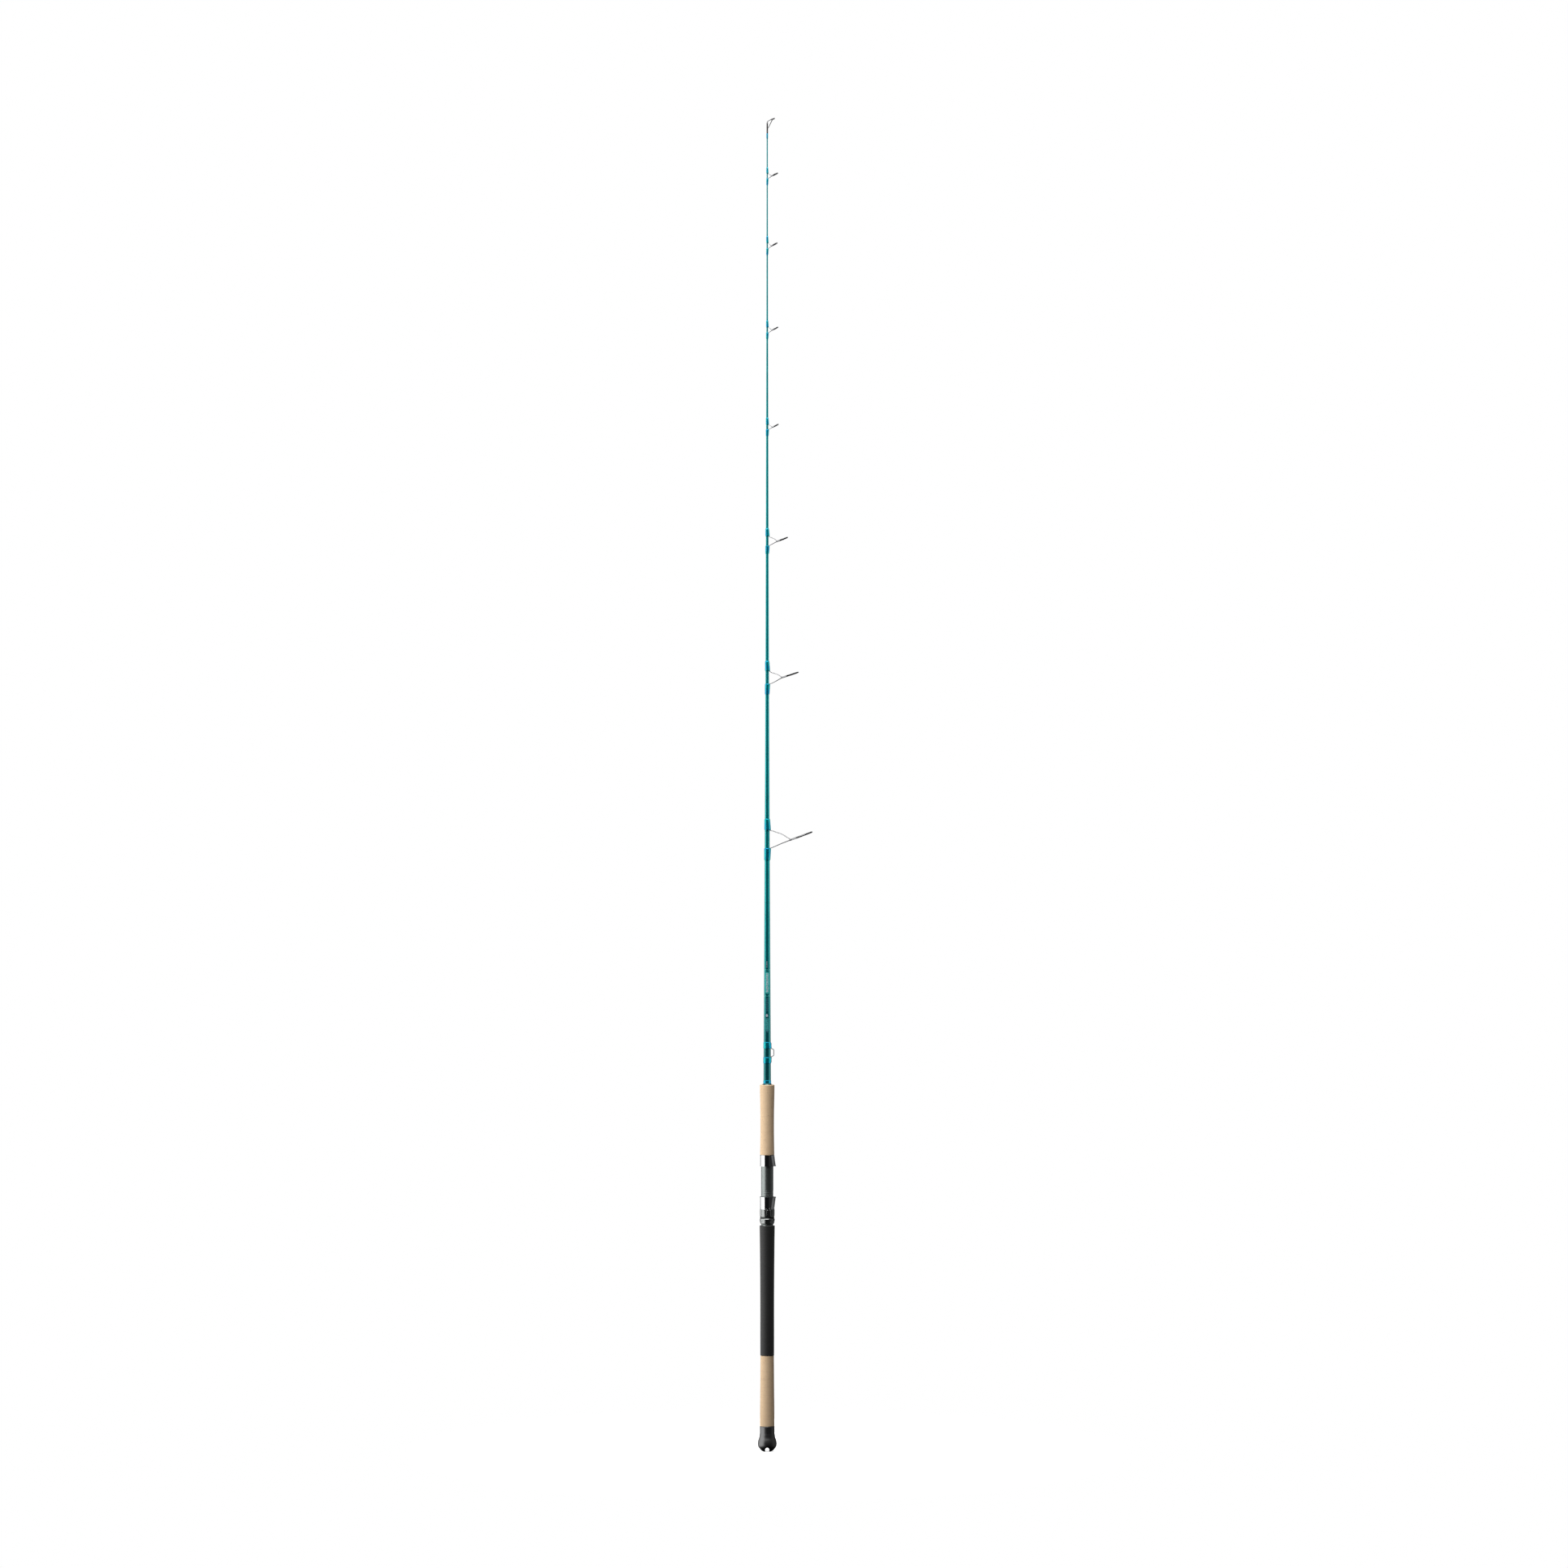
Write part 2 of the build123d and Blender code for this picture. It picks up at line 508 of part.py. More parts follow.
def hoop_and_insert(diameter, tilt, centre):
    """The metal hoop and the hard ring of a guide, leaning outwards and towards the tip."""
    wall, width = grown(HOOP_WALL, diameter), grown(HOOP_WIDTH, diameter)
    insert_wall, insert_width = grown(INSERT_WALL, diameter), grown(INSERT_WIDTH, diameter)
    outer, lean = diameter / 2, radians(tilt)
    place = Plane(origin=(centre[0], 0, centre[1]), x_dir=(cos(lean), 0, sin(lean)),
                  z_dir=(-sin(lean), 0, cos(lean)))
    band = Pos(outer - wall / 2, 0) * RectangleRounded(wall, width, wall * ROUNDING)
    insert_place = Pos(outer - wall - insert_wall / 2, 0)
    insert = insert_place * RectangleRounded(insert_wall, insert_width, insert_wall * ROUNDING)
    hoop = place * revolve(Plane.XZ * band, Axis.Z)
    hard_ring = place * revolve(Plane.XZ * insert, Axis.Z)
    return hoop, hard_ring, place


def hoop_point(place, diameter, angle):
    """A point in the middle of a hoop's wall, at an angle from the side nearest the blank."""
    r = diameter / 2 - grown(HOOP_WALL, diameter) / 2
    point = place.from_local_coords(Vector(-r * cos(radians(angle)), r * sin(radians(angle)), 0))
    return (point.X, point.Y, point.Z)


def make_guide(diameter, tilt, centre, front_wrap, front_leg, rear_wrap, rear_leg):
    """A double-foot guide: frame, ring insert and its two wraps."""
    large = diameter > LARGE_RING
    build = EPOXY_THICK if large else EPOXY_THIN
    leg = grown(LARGE_LEG_RADIUS if large else LEG_RADIUS, diameter)
    thickness = 2 * leg + FOOT_FACING
    width = grown(FOOT_WIDTH, diameter)
    spread = width / 2 - leg
    bends = [FOOT_BEND * leg, KNEE_BEND * leg, diameter / 2]
    hoop, insert, place = hoop_and_insert(diameter, tilt, centre)
    frame = hoop
    wraps = []
    for (top, bottom), (knee, middle), way in ((front_wrap, front_leg, 1), (rear_wrap, rear_leg, -1)):
        wide, thin = (bottom, top) if way == 1 else (top, bottom)
        frame += foot(wide + way * FOOT_HEEL, thin - way * FOOT_TAIL, thickness, width)
        root_x, root_z = blank_radius(wide) + thickness - leg, wide - way * ROOT_INSET
        for side in (-1, 1):
            joint = hoop_point(place, diameter, side * LEG_JOIN_ANGLE)
            root_y = side * spread * ROOT_SPREAD
            middle_y = side * (spread + (abs(joint[1]) - spread) * LEG_SPREAD)
            points = [(root_x, root_y, root_z + way * ROOT_LENGTH), (root_x, root_y, root_z),
                      (knee[0], side * spread, knee[1]), (middle[0], middle_y, middle[1]), joint]
            frame += wire(points, leg, bends)
            frame += Pos(*joint) * Sphere(leg * JOINT_BEAD)
        wraps.append(wrap(wide, thin, build, thickness) - frame)
    return first(frame), insert, [first(w) for w in wraps]


def make_hook_keeper():
    x = blank_radius(KEEPER_LOOP[0]) + KEEPER_WIRE + GLUE
    x_low = x + 2 * GLUE
    top, bottom = KEEPER_FEET
    a, b, c, d = KEEPER_LOOP
    points = [(x, 0, top), (x, 0, a), (KEEPER_REACH, 0, b), (KEEPER_REACH, 0, c),
              (x_low, 0, d), (x_low, 0, bottom)]
    return wire(points, KEEPER_WIRE, KEEPER_BENDS)


def make_keeper_wraps(keeper):
    (top, low), (high, bottom) = KEEPER_WRAPS
    ends = [(low, top), (high, bottom)]
    return [first(wrap(wide, thin, EPOXY_THIN, 2 * KEEPER_WIRE) - keeper) for wide, thin in ends]


def make_tip_top():
    """The tip-top: a tube on the blank's end, a neck and two braces that hold the hoop, and its ring."""
    hoop, insert, place = hoop_and_insert(TIP_RING_DIAMETER, TIP_RING_TILT, TIP_RING_CENTRE)
    bottom, top = TIP_TUBE
    in_by, down_by = TIP_TUBE_CHAMFER
    frame = turned([(0, bottom), (TIP_TUBE_RADIUS, bottom), (TIP_TUBE_RADIUS, top - down_by),
                    (TIP_TUBE_RADIUS - in_by, top), (0, top)])
    neck = [(x, 0, top + rise) for x, rise in TIP_NECK_PATH] + [hoop_point(place, TIP_RING_DIAMETER, 0)]
    frame = frame + wire(neck, TIP_NECK_RADIUS, [TIP_NECK_BEND] * 2) + hoop
    for side in (-1, 1):
        joint = hoop_point(place, TIP_RING_DIAMETER, side * TIP_BRACE_ANGLE)
        brace = [(x, side * y, top + rise) for x, y, rise in TIP_BRACE_PATH] + [joint]
        frame += wire(brace, TIP_BRACE_RADIUS, [TIP_BRACE_BEND])
        frame += Pos(*joint) * Sphere(TIP_BRACE_RADIUS * JOINT_BEAD)
    frame -= blank_core(bottom - MARGIN, BLANK_TOP + GLUE, GLUE)
    return first(frame - insert), insert


def make_tip_wrap():
    bottom, top = TIP_WRAP_BOTTOM, TIP_TUBE[0]
    r = blank_radius(top) + TIP_WRAP_BUILD
    (slope_in, slope_up), (edge_in, edge_down) = TIP_WRAP_SLOPE, TIP_WRAP_EDGE
    body = turned([(0, bottom), (r - slope_in, bottom), (r, bottom + slope_up), (r, top - edge_down),
                   (r - edge_in, top), (0, top)])
    return body - bore(bottom, top)


os.makedirs("parts", exist_ok=True)

save("blank", make_blank())
save("butt_plug", make_butt_plug())
save("gimbal_butt", make_gimbal())
save("rear_grip_cork", *cork_stack(REAR_CORK_OUTSIDE))
save("rear_grip_foam", grip(FOAM_OUTSIDE, FOAM_EDGE))
save("fore_grip_cork", *cork_stack(FORE_CORK_OUTSIDE))
save("winding_check", make_winding_check())
save("butt_trim_wrap", make_butt_wrap())

save("seat_barrel", make_barrel())
save("seat_arbors", *make_arbors())
fixed_shell, fixed_cushion = make_hood(
    FIXED_HOOD_RADIUS, FIXED_HOOD_MOUTH, FIXED_HOOD_END, FIXED_NIB_HEIGHT, BARREL_RADIUS)
save("fixed_hood_shell", fixed_shell)
save("fixed_hood_cushion", fixed_cushion)
sliding_shell, sliding_cushion = make_hood(
    SLIDING_HOOD_RADIUS, SLIDING_HOOD_MOUTH, SLIDING_HOOD_END, SLIDING_NIB_HEIGHT, SLIDE_BORE_RADIUS)
save("movable_hood_shell", sliding_shell)
save("movable_hood_cushion", make_sliding_cushion(sliding_cushion))
save("hood_thrust_ring", make_thrust_ring())
save("locking_nut", make_locking_nut())
save("jam_washer", make_jam_washer())
save("jam_nut", make_jam_nut())

hook_keeper = make_hook_keeper()
save("hook_keeper", hook_keeper)
save("hook_keeper_wraps", *make_keeper_wraps(hook_keeper))

for number, guide in enumerate(GUIDES, 1):
    guide_frame, hard_ring, guide_wraps = make_guide(**guide)
    save(f"guide_{number}_frame", guide_frame)
    save(f"guide_{number}_ring", hard_ring)
    save(f"guide_{number}_wraps", *guide_wraps)

tip_frame, tip_ring = make_tip_top()
save("tip_top_frame", tip_frame)
save("tip_top_ring", tip_ring)
save("tip_wrap", make_tip_wrap())
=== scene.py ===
import json
import math

import bpy
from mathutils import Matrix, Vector, noise


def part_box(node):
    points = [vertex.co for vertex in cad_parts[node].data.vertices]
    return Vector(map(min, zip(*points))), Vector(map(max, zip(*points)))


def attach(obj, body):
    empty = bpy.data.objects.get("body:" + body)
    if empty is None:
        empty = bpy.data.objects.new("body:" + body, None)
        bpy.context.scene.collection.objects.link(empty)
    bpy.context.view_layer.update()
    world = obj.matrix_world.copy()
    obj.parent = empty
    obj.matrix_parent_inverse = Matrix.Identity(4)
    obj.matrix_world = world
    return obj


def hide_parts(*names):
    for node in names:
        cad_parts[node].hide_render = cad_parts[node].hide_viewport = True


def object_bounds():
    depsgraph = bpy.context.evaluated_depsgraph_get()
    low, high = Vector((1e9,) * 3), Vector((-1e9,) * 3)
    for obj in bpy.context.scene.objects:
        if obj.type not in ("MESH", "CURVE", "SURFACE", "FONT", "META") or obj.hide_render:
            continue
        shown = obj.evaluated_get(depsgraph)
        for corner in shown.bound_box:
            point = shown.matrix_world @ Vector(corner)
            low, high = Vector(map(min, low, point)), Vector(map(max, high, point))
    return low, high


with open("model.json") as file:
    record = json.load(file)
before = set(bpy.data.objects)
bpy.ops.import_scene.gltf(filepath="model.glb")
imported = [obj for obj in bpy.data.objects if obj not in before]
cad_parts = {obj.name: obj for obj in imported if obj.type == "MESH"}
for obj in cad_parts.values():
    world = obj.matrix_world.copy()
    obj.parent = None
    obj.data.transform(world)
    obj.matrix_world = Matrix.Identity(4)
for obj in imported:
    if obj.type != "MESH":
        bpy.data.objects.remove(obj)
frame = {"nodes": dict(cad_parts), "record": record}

# Fishing rod with an empty reel seat. Metres, in the CAD frame: the blank's axis is Z, the guides
# stand out along +X, and the label on the blank faces -Y, where the camera stands.

CAD_LOW, CAD_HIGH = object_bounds()
MM = 0.001
ROD = "rod"
FULL_TURN = 2 * math.pi

# ---- driving sizes -------------------------------------------------------------------------------
BLANK_SIDES = 96
BLANK_ROW = 15 * MM              # spacing of the rings of points along the blank
BLANK_BORE = 0.8                 # bore of the blank as a share of its outside
WRAP_SIDES = 72
WRAP_ROWS = 40
WRAP_FOOT_EDGE = 1.1 * MM        # how far the epoxy rounds off beside a guide's legs
WRAP_TAIL_EDGE = 2.6 * MM        # and at the wrap's thin end
WRAP_BED = 0.06 * MM             # how deep a wrap's underside sits in the blank's skin
GRIP_SIDES = 180
GUIDES = 7
CORK_ROW = 0.42 * MM
CORK_RINGS = 9
SEAM_DEPTH = 0.02 * MM
SEAM_WIDTH = 0.2 * MM
SEAM_TONE = 0.22                 # how dark a glue seam is beside a pit
PIT_DEPTH = 0.07 * MM
PIT_SIZE = 1.6 * MM
PIT_THRESHOLD = 0.68
PIT_BLEND = 0.16                 # how far past the threshold a pit reaches its full depth
FOAM_ROW = 1.2 * MM
FOAM_RIPPLE = 0.025 * MM
SHARP_ANGLE = 38                 # degrees between faces that stay a crisp edge


# ---- reading the frame ---------------------------------------------------------------------------
LOOKS_OUT = 0.05                 # least outward share of the normal of a face on the outside


def outline(node):
    """(height, radius) up the outside of a round CAD node, from the faces that look outwards."""
    mesh = frame["nodes"][node].data
    reach = {}
    for polygon in mesh.polygons:
        middle, normal = polygon.center, polygon.normal
        outward = (normal.x * middle.x + normal.y * middle.y) / math.hypot(middle.x, middle.y)
        for point in [mesh.vertices[i].co for i in polygon.vertices] if outward > LOOKS_OUT else []:
            height = round(point.z, 5)
            reach[height] = max(reach.get(height, 0.0), math.hypot(point.x, point.y))
    return sorted(reach.items())


def along(profile, height):
    """The radius of an outline at a height."""
    if height <= profile[0][0]:
        return profile[0][1]
    for (z0, r0), (z1, r1) in zip(profile, profile[1:]):
        if height <= z1:
            return r0 + (r1 - r0) * (height - z0) / max(z1 - z0, 1e-9)
    return profile[-1][1]


BLANK = outline("blank")


def steps(low, high, spacing):
    """Evenly spaced heights from low to high."""
    count = max(2, round((high - low) / spacing))
    return [low + (high - low) * i / count for i in range(count + 1)]


# ---- mesh making ---------------------------------------------------------------------------------
def add_mesh(name, points, faces):
    mesh = bpy.data.meshes.new(name)
    mesh.from_pydata(points, [], faces)
    mesh.shade_smooth()
    mesh.set_sharp_from_angle(angle=math.radians(SHARP_ANGLE))
    piece = bpy.data.objects.new(name, mesh)
    bpy.context.scene.collection.objects.link(piece)
    return piece


def skin(name, rings):
    """A closed surface through rings of points: up the outside, then down the inside."""
    count = len(rings[0])
    faces = []
    for i in range(len(rings)):
        a, b = i * count, (i + 1) % len(rings) * count
        for j in range(count):
            k = (j + 1) % count
            faces.append((a + j, a + k, b + k, b + j))
    return add_mesh(name, [p for ring in rings for p in ring], faces)


def round_ring(radius, height, sides, lean=0.0):
    """A ring of points about the Z axis. lean moves the circle towards +X and widens it as much."""
    ring = []
    for i in range(sides):
        angle = FULL_TURN * i / sides
        across = lean * math.sin(angle)
        reach = lean * math.cos(angle) + math.sqrt(max((radius + lean) ** 2 - across ** 2, 0.0))
        ring.append((reach * math.cos(angle), reach * math.sin(angle), height))
    return ring


def rounded(distance, length):
    """0 at an edge, rising like a quarter circle to 1 at a length from it."""
    if distance >= length:
        return 1.0
    return math.sqrt(max(1 - (1 - distance / length) ** 2, 0.0))


# ---- materials -----------------------------------------------------------------------------------
BLANK_BLEND = (0.62, 0.90)       # heights between which the blank turns from its lower to its upper teal
BLANK_TONES = ((0.007, 0.160, 0.200), (0.003, 0.305, 0.370))
THREAD_TURN = 0.2 * MM           # height of one turn of thread
THREAD_TONES = ((0.003, 0.400, 0.500), (0.004, 0.290, 0.570))
CORK_TONES = ((0.740, 0.520, 0.315), (0.830, 0.610, 0.385))
CORK_FLECK_TONE = (0.520, 0.335, 0.195)
CORK_PIT_TONE = (0.420, 0.265, 0.155)
FOAM_TONES = ((0.006, 0.006, 0.006), (0.011, 0.011, 0.0105))
CHROME_TONES = ((0.60, 0.605, 0.61), (0.70, 0.70, 0.705))
SMOKE_TONES = ((0.20, 0.20, 0.205), (0.30, 0.30, 0.305))
CERAMIC_TONES = ((0.022, 0.023, 0.025), (0.050, 0.052, 0.056))
CHECK_TONES = ((0.010, 0.045, 0.038), (0.020, 0.075, 0.062))
GRAPHITE = (0.250, 0.272, 0.264)
NUT_GRAPHITE = (0.270, 0.280, 0.276)
WASHER_TONE = (0.050, 0.052, 0.052)
LINER_TONE = (0.014, 0.014, 0.015)
RUBBER_TONE = (0.006, 0.006, 0.0065)
FILLER_TONE = (0.30, 0.24, 0.17)
RUBBER_GLOSS = 2.2               # index of refraction of the polished gimbal


class Paint:
    """A node material around one Principled shader, in the frame's own coordinates."""

    def __init__(self, name, **constants):
        self.material = bpy.data.materials.new(name)
        self.material.use_nodes = True
        self.tree = self.material.node_tree
        self.shader = self.tree.nodes["Principled BSDF"]
        for key, value in constants.items():
            self.shader.inputs[key.replace("_", " ")].default_value = value
        self.place = self.add("TexCoord").outputs["Object"]

    def add(self, kind, inputs=(), **settings):
        node = self.tree.nodes.new("ShaderNode" + kind)
        for key, value in settings.items():
            setattr(node, key, value)
        for key, value in dict(inputs).items():
            if isinstance(value, bpy.types.NodeSocket):
                self.tree.links.new(value, node.inputs[key])
            else:
                node.inputs[key].default_value = value
        return node

    def math(self, operation, a, b=0.0, c=0.0):
        return self.add("Math", {0: a, 1: b, 2: c}, operation=operation).outputs[0]

    def stretched(self, x, y, z):
        scale = self.add("VectorMath", {0: self.place, 1: (x, y, z)}, operation="MULTIPLY")
        return scale.outputs[0]

    def noise(self, size, detail=2.0, rough=0.5, place=None):
        """Noise from 0 to 1 whose lumps are about size across."""
        inputs = {"Vector": place or self.place, "Scale": 1 / size, "Detail": detail, "Roughness": rough}
        return self.add("TexNoise", inputs).outputs[0]

    def cells(self, size, output="Distance"):
        inputs = {"Vector": self.place, "Scale": 1 / size}
        return self.add("TexVoronoi", inputs).outputs[output]

    def height(self):
        return self.add("SeparateXYZ", {0: self.place}).outputs["Z"]

    def ramp(self, factor, *stops):
        """Colours or greys at places from 0 to 1."""
        node = self.add("ValToRGB", {0: factor})
        elements = node.color_ramp.elements
        while len(elements) < len(stops):
            elements.new(0.5)
        for element, (place, value) in zip(elements, stops):
            grey = isinstance(value, (int, float))
            element.position = place
            element.color = (value, value, value, 1) if grey else (*value, 1)
        return node.outputs[0]

    def mix(self, factor, a, b, blend="MIX"):
        def colour(value):
            return value if isinstance(value, bpy.types.NodeSocket) else (*value, 1)
        inputs = {0: factor, 6: colour(a), 7: colour(b)}
        return self.add("Mix", inputs, data_type="RGBA", blend_type=blend).outputs[2]

    def span(self, factor, low, high):
        """A factor from 0 to 1 stretched to run from low to high."""
        inputs = {"Value": factor, "To Min": low, "To Max": high}
        return self.add("MapRange", inputs).outputs[0]

    def bump(self, height, distance, strength=1.0):
        inputs = {"Height": height, "Distance": distance, "Strength": strength}
        return self.add("Bump", inputs).outputs[0]

    def set(self, **sockets):
        for key, value in sockets.items():
            self.tree.links.new(value, self.shader.inputs[key.replace("_", " ")])
        return self.material


def blank_paint():
    """Deep teal over a bright ground under a clear coat, darker towards the handle."""
    coat = {"Coat_Weight": 0.2, "Coat_Roughness": 0.03}
    p = Paint("blank_teal_paint", Metallic=0.66, Specular_IOR_Level=0.3, **coat)
    low, high = BLANK_BLEND
    up = p.add("MapRange", {"Value": p.height(), "From Min": low, "From Max": high}).outputs[0]
    body = p.mix(up, *BLANK_TONES)
    flake = p.ramp(p.cells(0.25 * MM, output="Color"), (0.2, 0.80), (0.9, 1.25))
    drift = p.ramp(p.noise(30 * MM, 3), (0.3, 0.92), (0.7, 1.06))
    colour = p.mix(1.0, p.mix(1.0, body, flake, "MULTIPLY"), drift, "MULTIPLY")
    return p.set(
        Base_Color=colour,
        Roughness=p.span(p.noise(6 * MM, 4), 0.13, 0.24),
        Normal=p.bump(p.noise(0.5 * MM, 2), 0.006 * MM),
        Coat_Normal=p.bump(p.noise(9 * MM, 2), 0.02 * MM, 0.5),
    )


def thread_paint():
    """Fine turquoise thread laid turn by turn, sunk in clear epoxy, with painted shade in the grooves
    between turns and a painted highlight on each turn's crest.
    """
    coat = {"Coat_Weight": 0.15, "Coat_Roughness": 0.025}
    p = Paint("wrap_turquoise_thread", Metallic=0.8, Specular_IOR_Level=0.2, **coat)
    turns = p.math("SINE", p.math("MULTIPLY", p.height(), FULL_TURN / THREAD_TURN))
    turn = p.math("MULTIPLY_ADD", turns, 0.5, 0.5)
    fibre = p.noise(0.12 * MM, 2, place=p.stretched(0.35, 0.35, 3.0))
    patch = p.ramp(p.noise(7 * MM, 2), (0.40, 0.0), (0.62, 1.0))
    tone = p.mix(patch, *THREAD_TONES)
    # painted shade and highlight: darker and bluer between the turns, brighter on each turn's crest
    painted_turn_shading = p.mix(turn, (0.78, 0.80, 0.84), (1.05, 1.05, 1.0))
    worn = p.ramp(fibre, (0.2, 0.85), (0.8, 1.1))
    colour = p.mix(1.0, p.mix(1.0, tone, painted_turn_shading, "MULTIPLY"), worn, "MULTIPLY")
    return p.set(
        Base_Color=colour,
        Roughness=p.span(fibre, 0.24, 0.40),
        Normal=p.bump(turn, 0.02 * MM, 0.35),
        Coat_Normal=p.bump(p.noise(4 * MM, 2), 0.03 * MM, 0.6),
    )


def cork_paint():
    """Close-grained cork: warm grain, darker lenticels, pits and a thin glue line at each ring."""
    p = Paint("cork_grain")
    grain = p.noise(0.5 * MM, 6, 0.65)
    patch = p.noise(7 * MM, 4, 0.55)
    body = p.mix(patch, *CORK_TONES)
    body = p.mix(1.0, body, p.ramp(grain, (0.25, 0.92), (0.75, 1.04)), "MULTIPLY")
    fleck = p.noise(1.3 * MM, 5, 0.6, place=p.stretched(1.0, 1.0, 2.3))
    body = p.mix(p.ramp(fleck, (0.62, 0.0), (0.74, 0.28)), body, CORK_FLECK_TONE)
    pit = p.add("Attribute", attribute_name="pit").outputs["Fac"]
    body = p.mix(pit, body, CORK_PIT_TONE)
    relief = p.math("MULTIPLY_ADD", grain, 0.6, p.math("MULTIPLY", fleck, -0.5))
    return p.set(
        Base_Color=body,
        Roughness=p.span(grain, 0.62, 0.85),
        Normal=p.bump(relief, 0.07 * MM, 0.5),
    )


def foam_paint():
    """Closed-cell foam: soft black with a fine sanded cell structure."""
    p = Paint("foam_cells", Sheen_Weight=0.12, Sheen_Roughness=0.5)
    cell = p.cells(0.45 * MM)
    fine = p.noise(0.18 * MM, 4, 0.6)
    tone = p.mix(p.noise(12 * MM, 3), *FOAM_TONES)
    tone = p.mix(1.0, tone, p.ramp(cell, (0.05, 0.55), (0.6, 1.25)), "MULTIPLY")
    relief = p.math("MULTIPLY_ADD", fine, 0.5, cell)
    return p.set(
        Base_Color=tone,
        Roughness=p.span(fine, 0.52, 0.72),
        Normal=p.bump(relief, 0.05 * MM, 0.5),
    )


def graphite_paint(name, tone, low, high):
    """Satin anodised metal: fine marks round the axis, and a slight cloudiness."""
    p = Paint(name, Metallic=1.0)
    turned = p.noise(0.35 * MM, 3, 0.6, place=p.stretched(0.08, 0.08, 1.0))
    cloud = p.noise(5 * MM, 4)
    body = p.mix(cloud, [c * 0.86 for c in tone], [c * 1.12 for c in tone])
    body = p.mix(1.0, body, p.ramp(turned, (0.2, 0.92), (0.8, 1.06)), "MULTIPLY")
    return p.set(
        Base_Color=body,
        Roughness=p.span(turned, low, high),
        Normal=p.bump(turned, 0.01 * MM, 0.4),
    )


def chrome_paint():
    """Bright chrome with faint wiping haze."""
    p = Paint("hood_chrome_plate", Metallic=1.0)
    haze = p.noise(6 * MM, 5, 0.6, place=p.stretched(1.0, 1.0, 0.4))
    scratch = p.noise(0.3 * MM, 3, 0.7, place=p.stretched(0.15, 0.15, 1.0))
    tone = p.mix(haze, *CHROME_TONES)
    return p.set(
        Base_Color=tone,
        Roughness=p.span(p.math("MULTIPLY", haze, scratch), 0.03, 0.14),
        Normal=p.bump(scratch, 0.0005 * MM, 0.3),
    )


def dark_metal_paint():
    """Smoke-coloured plated wire, brighter where handling has polished it."""
    p = Paint("guide_smoke_plate", Metallic=1.0)
    cloud = p.noise(3 * MM, 4)
    fine = p.noise(0.25 * MM, 3)
    tone = p.mix(cloud, *SMOKE_TONES)
    return p.set(
        Base_Color=tone,
        Roughness=p.span(fine, 0.10, 0.22),
        Normal=p.bump(fine, 0.004 * MM, 0.5),
    )


def ceramic_paint():
    """Polished dark ceramic."""
    p = Paint("ring_ceramic_polish", IOR=1.9)
    speck = p.noise(0.2 * MM, 3, 0.6)
    tone = p.mix(speck, *CERAMIC_TONES)
    return p.set(
        Base_Color=tone,
        Roughness=p.span(p.noise(1.5 * MM, 3), 0.06, 0.16),
        Normal=p.bump(speck, 0.003 * MM, 0.4),
    )


def rubber_paint(name, tone, low, high, grit, gloss=1.5):
    """Moulded rubber or plastic with a fine matt texture. gloss is its index of refraction."""
    p = Paint(name, IOR=gloss)
    fine = p.noise(grit, 4, 0.6)
    scuff = p.noise(5 * MM, 5, 0.65)
    body = p.mix(scuff, [c * 0.75 for c in tone], [c * 1.35 for c in tone])
    return p.set(
        Base_Color=body,
        Roughness=p.span(scuff, low, high),
        Normal=p.bump(fine, 0.05 * MM, 0.35),
    )


def check_paint():
    """Dark anodised trim cone under a thin film of epoxy."""
    p = Paint("check_dark_green", Metallic=0.7, Coat_Weight=0.6, Coat_Roughness=0.06)
    fine = p.noise(0.3 * MM, 3, place=p.stretched(0.1, 0.1, 1.0))
    tone = p.mix(p.noise(3 * MM, 3), *CHECK_TONES)
    return p.set(Base_Color=tone, Roughness=p.span(fine, 0.2, 0.35), Normal=p.bump(fine, 0.008 * MM, 0.4))


def print_paint(name, tone):
    """Printing ink or foil under the clear coat, with a fine dot grain."""
    p = Paint(name, Metallic=0.15, Coat_Weight=0.2, Coat_Roughness=0.03)
    grain = p.noise(0.3 * MM, 4)
    body = p.mix(p.noise(4 * MM, 3), [c * 0.85 for c in tone], [c * 1.12 for c in tone])
    body = p.mix(1.0, body, p.ramp(grain, (0.2, 0.85), (0.8, 1.12)), "MULTIPLY")
    return p.set(Base_Color=body, Roughness=p.span(grain, 0.3, 0.5), Normal=p.bump(grain, 0.003 * MM, 0.4))


PAINTS = {
    "blank_teal": blank_paint(),
    "wrap_turquoise": thread_paint(),
    "cork": cork_paint(),
    "foam_black": foam_paint(),
    "seat_graphite": graphite_paint("seat_graphite_satin", GRAPHITE, 0.36, 0.44),
    "nut_graphite": graphite_paint("nut_graphite_satin", NUT_GRAPHITE, 0.20, 0.32),
    "washer_dark": graphite_paint("washer_dark_gloss", WASHER_TONE, 0.10, 0.18),
    "hood_chrome": chrome_paint(),
    "cushion_black": rubber_paint("cushion_black_liner", LINER_TONE, 0.35, 0.55, 0.2 * MM),
    "guide_metal": dark_metal_paint(),
    "ring_ceramic": ceramic_paint(),
    "check_black": check_paint(),
    "gimbal_rubber": rubber_paint(
        "gimbal_black_rubber", RUBBER_TONE, 0.32, 0.44, 0.25 * MM, RUBBER_GLOSS),
    "hidden_filler": rubber_paint("filler_tan", FILLER_TONE, 0.6, 0.8, 0.5 * MM),
}
SILVER = print_paint("label_silver", (0.60, 0.66, 0.80))
TEAL = print_paint("label_light_teal", (0.06, 0.50, 0.50))
DUSK = print_paint("label_dusk_blue", (0.03, 0.16, 0.22))


def finish_piece(piece, paint, slot, *replaced):
    """Give a new piece its material and body, and hide the CAD nodes it stands for."""
    piece.data.materials.append(paint)
    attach(piece, ROD)
    if replaced:
        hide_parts(*replaced)
    return piece


